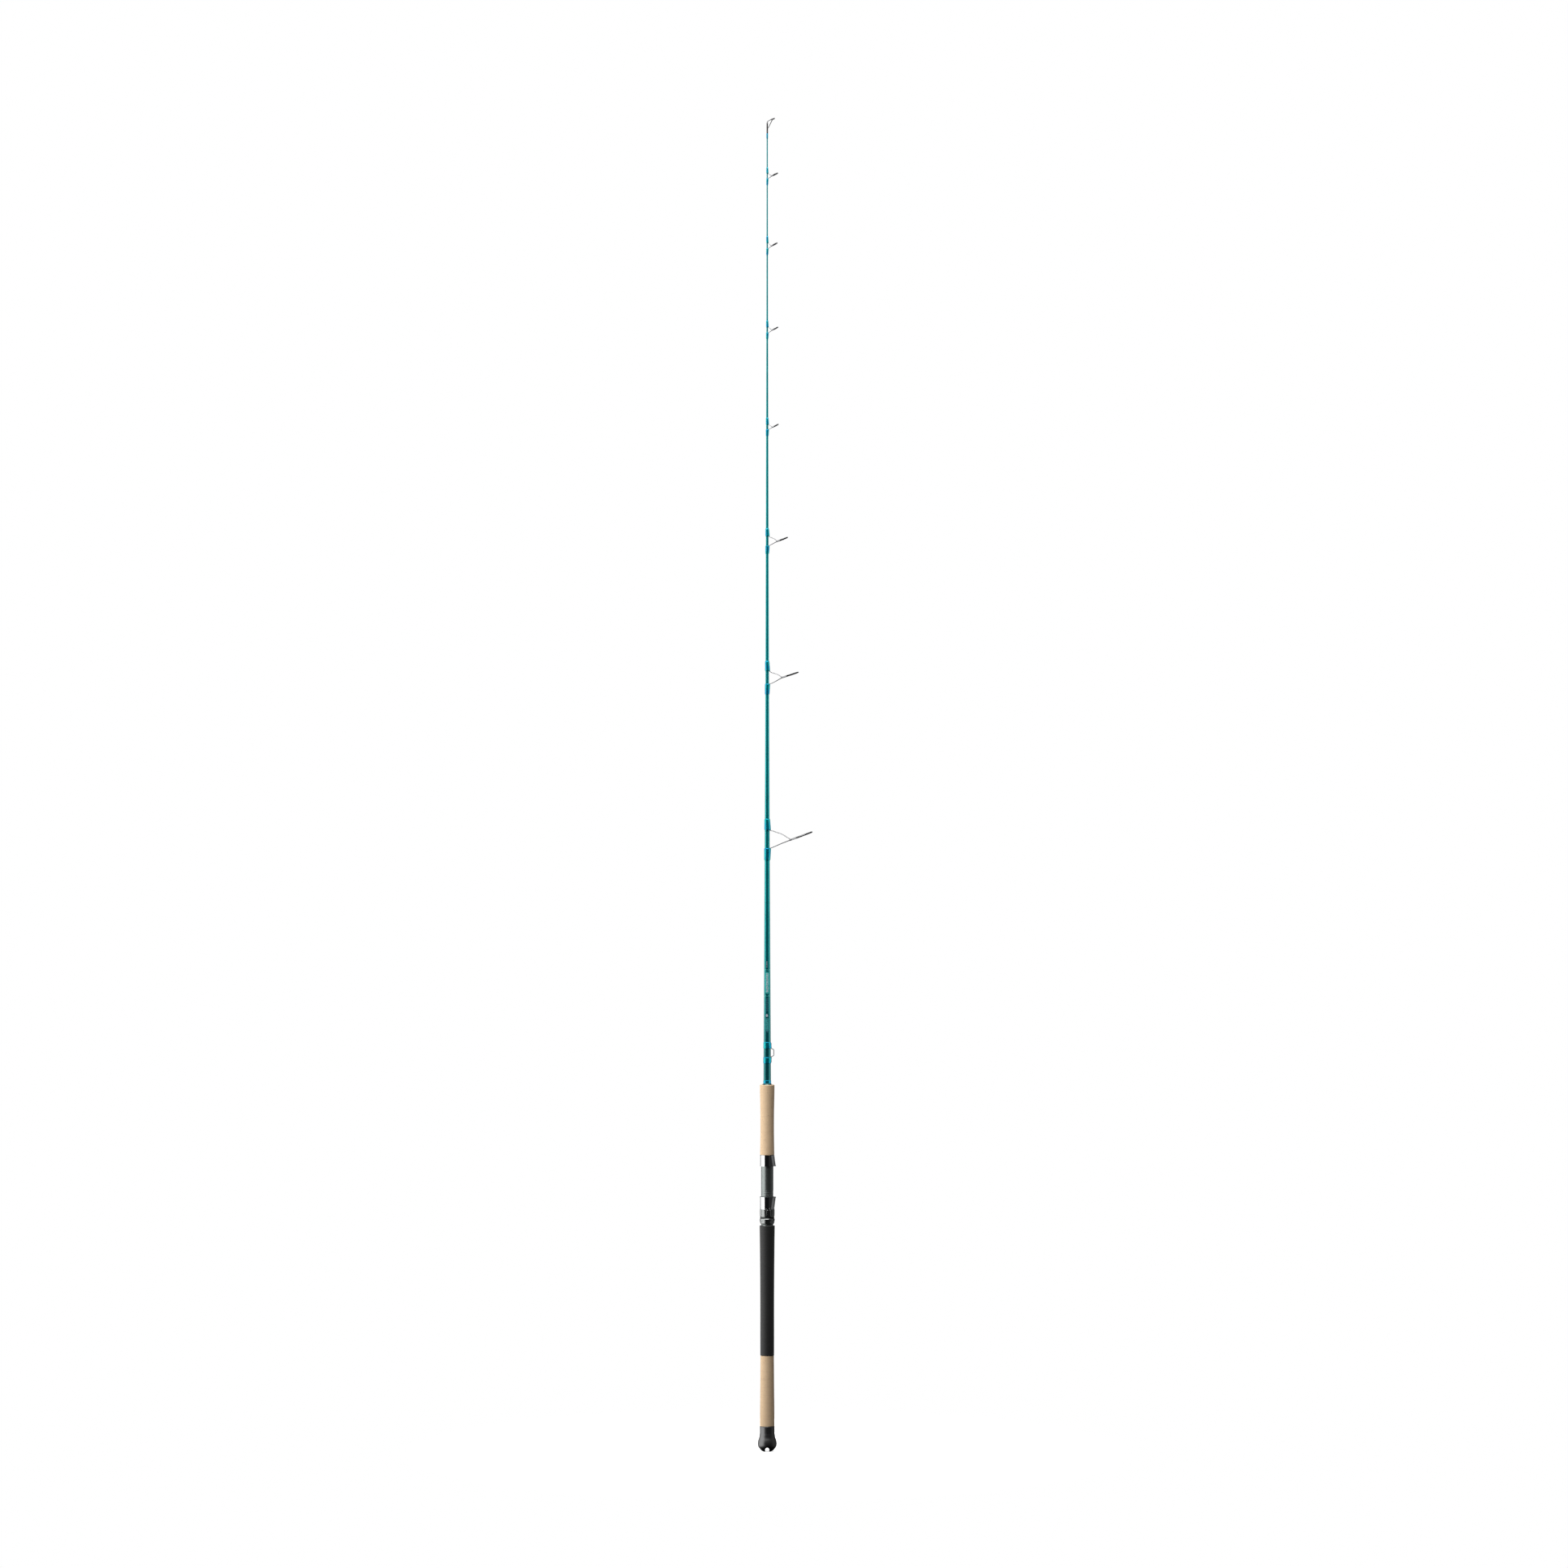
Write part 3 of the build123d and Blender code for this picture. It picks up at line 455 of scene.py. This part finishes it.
# ---- the blank -----------------------------------------------------------------------------------
def make_blank():
    """The tapered tube, smooth from butt to tip."""
    low, high = BLANK[0][0], BLANK[-1][0]
    heights = steps(low, high, BLANK_ROW)
    outside = [round_ring(along(BLANK, z), z, BLANK_SIDES) for z in heights]
    inside = [round_ring(along(BLANK, z) * BLANK_BORE, z, BLANK_SIDES) for z in reversed(heights)]
    return finish_piece(skin("blank_tube", outside + inside), PAINTS["blank_teal"], "blank_teal", "blank")


# ---- thread wraps --------------------------------------------------------------------------------
def wrap_skin(name, foot_end, tail_end, build, rise):
    """A wrap under epoxy. It stands rise higher on the +X side at its foot end, over a guide's foot."""
    length = abs(tail_end - foot_end)
    way = 1 if tail_end > foot_end else -1
    outside = []
    for i in range(WRAP_ROWS + 1):
        share = (1 - math.cos(math.pi * i / WRAP_ROWS)) / 2
        from_foot, to_tail = share * length, (1 - share) * length
        height = foot_end + way * from_foot
        edge = rounded(from_foot, WRAP_FOOT_EDGE) * rounded(to_tail, WRAP_TAIL_EDGE)
        lean = rise / 2 * (to_tail / length) * rounded(from_foot, WRAP_FOOT_EDGE)
        radius = along(BLANK, height) + build * edge
        outside.append(round_ring(radius, height, WRAP_SIDES, lean))
    if way < 0:
        outside.reverse()
    ends = [outside[-1][0][2], outside[0][0][2]]
    inside = [round_ring(along(BLANK, z) - WRAP_BED, z, WRAP_SIDES) for z in ends]
    return skin(name, outside + inside)


def joined(name, pieces):
    """One piece from several."""
    points, faces = [], []
    for piece in pieces:
        start = len(points)
        points += [tuple(v.co) for v in piece.data.vertices]
        faces += [tuple(start + i for i in polygon.vertices) for polygon in piece.data.polygons]
        bpy.data.objects.remove(piece)
    return add_mesh(name, points, faces)


def wrap_pair(name, node, middle):
    """The two wraps of a guide or keeper, one each side of its middle height, sized from their CAD node."""
    points = [v.co for v in frame["nodes"][node].data.vertices]
    made = []
    for above in (True, False):
        own = [p for p in points if (p.z > middle) == above]
        low, high = min(p.z for p in own), max(p.z for p in own)
        foot_end, tail_end = (low, high) if above else (high, low)
        left, right = -min(p.x for p in own), max(p.x for p in own)
        build = left - along(BLANK, foot_end)
        made.append(wrap_skin("wrap_part", foot_end, tail_end, build, right - left))
    return finish_piece(joined(name, made), PAINTS["wrap_turquoise"], "wrap_turquoise", node)


def make_wraps():
    made = []
    for number in range(1, GUIDES + 1):
        low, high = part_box(f"guide_{number}_ring")
        made.append(wrap_pair(f"guide_{number}_thread", f"guide_{number}_wraps", (low.z + high.z) / 2))
    low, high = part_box("hook_keeper")
    made.append(wrap_pair("hook_keeper_thread", "hook_keeper_wraps", (low.z + high.z) / 2))
    for node, name in (("butt_trim_wrap", "butt_trim_thread"), ("tip_wrap", "tip_thread")):
        low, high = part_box(node)
        build = high.x - along(BLANK, (low.z + high.z) / 2)
        piece = wrap_skin(name, high.z, low.z, build, 0.0)
        made.append(finish_piece(piece, PAINTS["wrap_turquoise"], "wrap_turquoise", node))
    return made


# ---- grips ---------------------------------------------------------------------------------------
def smooth_step(value):
    value = min(max(value, 0.0), 1.0)
    return value * value * (3 - 2 * value)


def cork_pit(point, ring_number):
    """How deep a cork surface is pitted at a point, from 0 to 1. Each ring has its own grain."""
    stretch = Vector((point.x, point.y, point.z * 1.8)) / PIT_SIZE
    value = noise.fractal(stretch + Vector((17.0, 5.0, 9.0)) * ring_number, 0.8, 2.1, 3)
    return smooth_step((value - PIT_THRESHOLD) / PIT_BLEND)


def cork_grip(name, node):
    """A stack of glued cork rings, with open pits and fine seams in the surface itself."""
    profile = outline(node)
    low, high = profile[0][0], profile[-1][0]
    ring_height = (high - low) / CORK_RINGS
    outside, pits = [], []
    for z in steps(low, high, CORK_ROW):
        to_seam = abs((z - low + ring_height / 2) % ring_height - ring_height / 2)
        inner = low + SEAM_WIDTH < z < high - SEAM_WIDTH
        seam = math.exp(-(to_seam / SEAM_WIDTH) ** 2) if inner else 0.0
        number = int((z - low) / ring_height - 1e-6)
        ring = []
        for x, y, _ in round_ring(along(profile, z), z, GRIP_SIDES):
            pit = cork_pit(Vector((x, y, z)), number) if inner else 0.0
            radius = math.hypot(x, y)
            scale = 1 - (PIT_DEPTH * pit + SEAM_DEPTH * seam) / radius
            ring.append((x * scale, y * scale, z))
            pits.append(max(pit, SEAM_TONE * seam))
        outside.append(ring)
    inside = [round_ring(along(BLANK, z) - WRAP_BED, z, GRIP_SIDES) for z in (high, low)]
    pits += [0.0] * (2 * GRIP_SIDES)
    piece = skin(name, outside + inside)
    piece.data.attributes.new("pit", "FLOAT", "POINT").data.foreach_set("value", pits)
    return finish_piece(piece, PAINTS["cork"], "cork", node)


def foam_grip(name, node):
    """The moulded foam grip, with the slight unevenness of sanded foam."""
    profile = outline(node)
    low, high = profile[0][0], profile[-1][0]
    edges = [z for z, _ in profile if z - low < FOAM_ROW or high - z < FOAM_ROW]
    heights = sorted(set(steps(low, high, FOAM_ROW)[1:-1] + edges))
    outside = []
    for z in heights:
        ring = []
        for x, y, _ in round_ring(along(profile, z), z, GRIP_SIDES):
            ripple = noise.noise(Vector((x, y, z)) / (4 * MM)) - 1
            scale = 1 + FOAM_RIPPLE * ripple / math.hypot(x, y)
            ring.append((x * scale, y * scale, z))
        outside.append(ring)
    inside = [round_ring(along(BLANK, z) - WRAP_BED, z, GRIP_SIDES) for z in (high, low)]
    piece = finish_piece(skin(name, outside + inside), PAINTS["foam_black"], "foam_black", node)
    return piece


# ---- the label on the blank ----------------------------------------------------------------------
LABEL_FACE = -math.pi / 2        # the label faces -Y
LABEL_COLUMNS = 12
FIELD_LIFT = 0.03 * MM
MARK_LIFT = 0.05 * MM
BAR_SHARE = 0.55                 # height of a bar as a share of its pitch
LABEL_ROW = 0.4 * MM
WIDE, MIDDLE, NARROW = 1.9 * MM, 1.5 * MM, 0.5 * MM    # half widths of bars

# lowest and highest point of each mark
BAND_UPPER = (770.3 * MM, 771.1 * MM)
BAND_LOWER = (728.5 * MM, 729.3 * MM)
BARS_TOP = (774.5 * MM, 785.0 * MM)
FIELD_UPPER = (732.5 * MM, 767.5 * MM)
BARS_UPPER = (735.5 * MM, 766.0 * MM)
BARS_MIDDLE = (704.5 * MM, 726.0 * MM)
DISC = (695.5 * MM, 700.0 * MM)
FIELD_LOWER = (670.5 * MM, 695.0 * MM)
BARS_LOWER = (674.0 * MM, 693.5 * MM)


def decal(name, heights, half_width, lift, paint, offset=0.0):
    """A thin printed patch on the blank's front. half_width gives its reach either side at a height."""
    outer, inner = [], []
    for z in heights:
        radius = along(BLANK, z)
        for i in range(LABEL_COLUMNS + 1):
            across = offset + half_width(z) * (2 * i / LABEL_COLUMNS - 1)
            angle = LABEL_FACE + across / radius
            for layer, rise in ((outer, lift), (inner, -lift)):
                reach = radius + rise
                layer.append((reach * math.cos(angle), reach * math.sin(angle), z))
    count, row = len(outer), LABEL_COLUMNS + 1
    faces = []
    for i in range(len(heights) - 1):
        for j in range(LABEL_COLUMNS):
            a = i * row + j
            faces.append((a, a + 1, a + row + 1, a + row))
            faces.append(tuple(count + k for k in (a, a + row, a + row + 1, a + 1)))
    rim = list(range(row)) + [i * row + row - 1 for i in range(1, len(heights))]
    rim += [count - 1 - j for j in range(1, row)] + [i * row for i in range(len(heights) - 2, 0, -1)]
    for a, b in zip(rim, rim[1:] + rim[:1]):
        faces.append((b, a, count + a, count + b))
    return finish_piece(add_mesh(name, outer + inner, faces), paint, "wrap_turquoise")


def oval(name, low, high, half_width, lift, paint, end, offset=0.0):
    """A patch whose ends are rounded off over a given length."""
    def edge(z):
        return half_width * rounded(min(z - low, high - z) + FIELD_LIFT, end)
    return decal(name, steps(low, high, LABEL_ROW), edge, lift, paint, offset)


def bars(name, low, high, half_widths, paint, offset=0.0):
    """A column of plain bars across the front of the blank."""
    pitch = (high - low) / len(half_widths)
    made = []
    for i, half_width in enumerate(half_widths):
        base = low + pitch * i
        heights = [base, base + pitch * BAR_SHARE]
        made.append(decal(f"{name}_{i + 1}", heights, lambda z, w=half_width: w, MARK_LIFT, paint, offset))
    return made


def band(name, low, high):
    """A thin printed band right round the blank."""
    rings = [round_ring(along(BLANK, z) + FIELD_LIFT, z, BLANK_SIDES) for z in (low, high)]
    rings += [round_ring(along(BLANK, z) - FIELD_LIFT, z, BLANK_SIDES) for z in (high, low)]
    return finish_piece(skin(name, rings), TEAL, "wrap_turquoise")


def make_label():
    """Plain bands, fields and bars in the places of the rod's printing."""
    return [
        band("label_band_upper", *BAND_UPPER),
        band("label_band_lower", *BAND_LOWER),
        oval("label_field_upper", *FIELD_UPPER, 2.7 * MM, FIELD_LIFT, TEAL, 4 * MM),
        *bars("label_bar_upper", *BARS_UPPER, [WIDE, MIDDLE, MIDDLE] * 5, SILVER),
        *bars("label_bar_top", *BARS_TOP, [NARROW] * 5, SILVER, -NARROW),
        *bars("label_bar_middle", *BARS_MIDDLE, [WIDE, MIDDLE] * 5, DUSK),
        oval("label_disc", *DISC, 1.5 * MM, MARK_LIFT, SILVER, 2.2 * MM, -NARROW),
        oval("label_field_lower", *FIELD_LOWER, 2.2 * MM, FIELD_LIFT, DUSK, 6 * MM),
        *bars("label_bar_lower", *BARS_LOWER, [MIDDLE, WIDE, WIDE] * 3, TEAL),
    ]


# ---- stage, light and camera ---------------------------------------------------------------------
FLOOR_RADIUS = 0.6
FLOOR_GAP = 0.2 * MM
CAMERA_PLACE = (0.0269, -8.31, 1.068)
CAMERA_LENS = 119.2
SENSOR = 36
STUDIO_HEIGHT = 1.07
COAT_TINT = (1.0, 1.0, 0.8)
SURROUND_TONE = (1, 1, 1, 1)                 # the surround as the camera sees it
SURROUND_LIGHT = (0.008, 0.008, 0.009, 1)    # and as it lights the rod

# azimuth, elevation, width, height, distance and radiance of each soft panel
KEY_PANEL = "key_left"
PANELS = {
    KEY_PANEL: (-80, 0, 3.77, 5.0, 2.5, 2.0),
    "fill_right": (95, 0, 2.4, 5.0, 2.5, 0.16),
    "glow_right": (48, 0, 1.9, 5.0, 2.5, 0.02),
    "edge_back_left": (-146, 0, 2.0, 5.0, 2.5, 0.8),
    "edge_back_right": (150, 0, 1.0, 5.0, 2.5, 0.25),
    "top_front": (-18, 62, 3.2, 2.4, 3.2, 6.2),
    "top_right": (75, 62, 2.4, 2.0, 3.2, 0.8),
    "top_back": (160, 65, 3.0, 2.0, 3.4, 1.2),
}
COAT_PANELS = {
    "coat_left": (-88, 0, 2.89, 5.0, 2.5, 2.1),
    "coat_right": (88, 0, 3.25, 5.0, 2.5, 1.3),
}


def make_floor():
    """A round white floor that fades out at its edge."""
    sides = 128
    rings = 12
    points = [(0.0, 0.0, 0.0)]
    faces = []
    for i in range(1, rings + 1):
        reach = FLOOR_RADIUS * i / rings
        points += [(x, y, 0.0) for x, y, _ in round_ring(reach, 0.0, sides)]
    for j in range(sides):
        k = (j + 1) % sides
        faces.append((0, 1 + j, 1 + k))
        for i in range(rings - 1):
            a, b = 1 + i * sides, 1 + (i + 1) * sides
            faces.append((a + j, b + j, b + k, a + k))
    floor = add_mesh("floor", points, faces)
    floor.location.z = CAD_LOW.z - FLOOR_GAP
    floor.visible_diffuse = False
    floor.visible_glossy = False
    p = Paint("floor_white", Roughness=0.7, Emission_Strength=0.75)
    p.shader.inputs["Emission Color"].default_value = (1, 1, 1, 1)
    reach = p.add("VectorMath", {0: p.place}, operation="LENGTH").outputs["Value"]
    inputs = {"Value": reach, "From Min": FLOOR_RADIUS * 0.35, "From Max": FLOOR_RADIUS * 0.98,
              "To Min": 1.0, "To Max": 0.0}
    alpha = p.add("MapRange", inputs, interpolation_type="SMOOTHSTEP").outputs[0]
    tone = p.ramp(p.noise(0.2, 2), (0.3, (0.86, 0.86, 0.86)), (0.7, (0.89, 0.89, 0.89)))
    floor.data.materials.append(p.set(Base_Color=tone, Alpha=alpha))


def softbox(name, azimuth, elevation, width, height, distance, radiance, tint=(1, 1, 1)):
    """A soft panel aimed at the rod. Azimuth is measured from -Y towards +X, in degrees."""
    light = bpy.data.lights.new(name, "AREA")
    light.shape = "RECTANGLE"
    light.size, light.size_y = width, height
    light.energy = radiance * math.pi * width * height
    light.color = tint
    lamp = bpy.data.objects.new(name, light)
    bpy.context.scene.collection.objects.link(lamp)
    a, e = math.radians(azimuth), math.radians(elevation)
    out = Vector((math.sin(a) * math.cos(e), -math.cos(a) * math.cos(e), math.sin(e)))
    lamp.location = Vector((0, 0, STUDIO_HEIGHT)) + out * distance
    lamp.rotation_euler = out.to_track_quat("Z", "Y").to_euler()
    lamp.visible_camera = False
    return lamp


def light_only(pieces, state, *lamps):
    """Let lamps light only these pieces, or everything except them."""
    group = bpy.data.collections.new("pieces_" + state.lower())
    for piece in pieces:
        group.objects.link(piece)
    for member in group.collection_objects:
        member.light_linking.link_state = state
    for lamp in lamps:
        lamp.light_linking.receiver_collection = group


def make_light(coated):
    """Soft panels round the rod. The coated pieces have a pair of their own in place of the key."""
    lamps = {name: softbox(name, *sizes) for name, sizes in PANELS.items()}
    coat_lamps = [softbox(name, *sizes, COAT_TINT) for name, sizes in COAT_PANELS.items()]
    light_only(coated, "INCLUDE", *coat_lamps)
    light_only(coated, "EXCLUDE", lamps[KEY_PANEL])
    world = bpy.data.worlds.new("white_surround")
    world.use_nodes = True
    tree = world.node_tree
    tree.nodes.clear()
    seen = tree.nodes.new("ShaderNodeBackground")
    seen.inputs["Color"].default_value = SURROUND_TONE
    unlit = tree.nodes.new("ShaderNodeBackground")
    unlit.inputs["Color"].default_value = SURROUND_LIGHT
    choose = tree.nodes.new("ShaderNodeMixShader")
    path = tree.nodes.new("ShaderNodeLightPath")
    output = tree.nodes.new("ShaderNodeOutputWorld")
    tree.links.new(path.outputs["Is Camera Ray"], choose.inputs[0])
    tree.links.new(unlit.outputs[0], choose.inputs[1])
    tree.links.new(seen.outputs[0], choose.inputs[2])
    tree.links.new(choose.outputs[0], output.inputs["Surface"])
    bpy.context.scene.world = world


def make_camera():
    camera = bpy.data.objects.new("camera", bpy.data.cameras.new("camera"))
    bpy.context.scene.collection.objects.link(camera)
    camera.location = CAMERA_PLACE
    camera.rotation_euler = (math.radians(90), 0, 0)
    camera.data.lens = CAMERA_LENS
    camera.data.sensor_width = SENSOR
    camera.data.clip_end = 100
    bpy.context.scene.camera = camera


# ---- making it all -------------------------------------------------------------------------------
make_camera()
make_floor()

for part in frame["record"]["subparts"]:
    frame["nodes"][part["node"]].material_slots[0].material = PAINTS[part["material_slot"]]

coated = [make_blank(), *make_wraps()]
cork_grip("rear_cork_rings", "rear_grip_cork")
cork_grip("fore_cork_rings", "fore_grip_cork")
foam_grip("rear_foam", "rear_grip_foam")
coated += make_label()
make_light(coated)

bpy.context.scene.view_settings.view_transform = "Standard"
